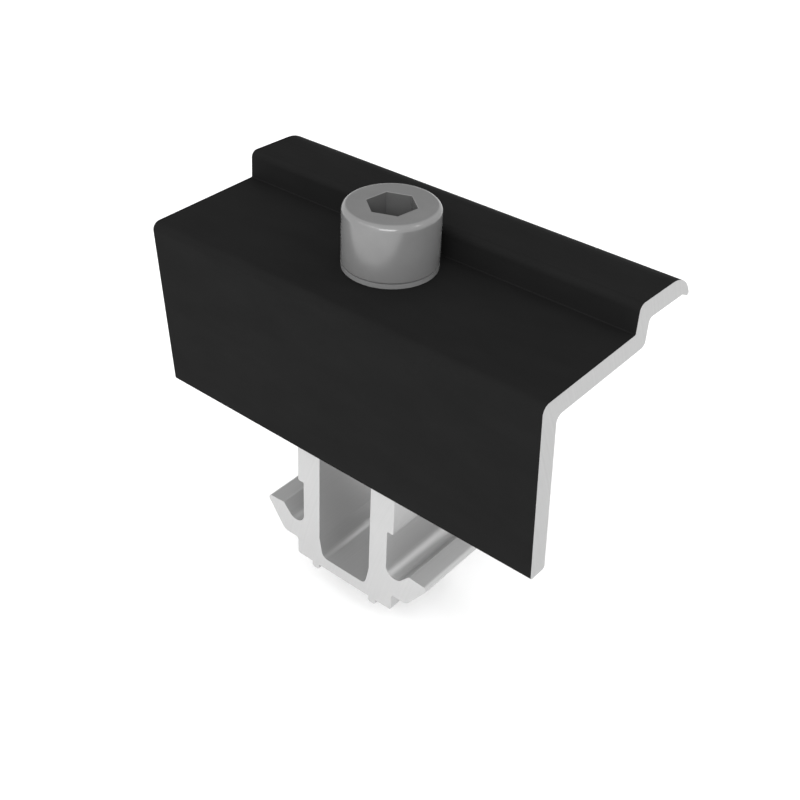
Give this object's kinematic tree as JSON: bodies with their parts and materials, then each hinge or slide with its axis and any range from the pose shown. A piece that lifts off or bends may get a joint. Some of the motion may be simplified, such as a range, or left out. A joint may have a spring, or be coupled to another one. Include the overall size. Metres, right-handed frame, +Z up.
{
  "type": "solar end clamp",
  "caption": "Extruded Z-shaped clamp that holds the edge of a solar module down on a rail, with a socket cap screw, a conical lock washer and a hooked channel nut for the rail's slot.",
  "frame": {"origin": "middle of the clamp's sole, where it stands on the rail", "axes": "+X along the clamp's extrusion, +Y along the rail towards the module, +Z up along the screw towards its head"},
  "size_m": [0.0644, 0.0325, 0.0604],
  "materials": {
    "black_anodised": "black anodised extrusion, satin, with bare sawn ends",
    "screw_steel": "satin stainless steel, turned and rolled",
    "washer_steel": "satin stainless spring steel",
    "bare_aluminium": "bare mill finish extrusion with sawn ends"
  },
  "bodies": {
    "clamp": {"clamp_profile": "black_anodised"},
    "screw": {"clamp_screw": "screw_steel", "lock_washer": "washer_steel"},
    "nut": {"channel_nut": "bare_aluminium"}
  },
  "joints": [
    {"name": "screw_turn", "type": "hinge", "parent": "clamp", "child": "screw", "pos_m": [-0.00035, 0.00959, 0.0284], "axis": [0, 0, 1], "range_deg": [0, 1080]},
    {"name": "nut_travel", "type": "slide", "parent": "clamp", "child": "nut", "axis": [0, 0, -1], "range_m": [0, 0.00375]}
  ],
  "couplings": [
    {"joint": "screw_turn", "follows": "nut_travel", "rad_per_m": 5026.5}
  ]
}
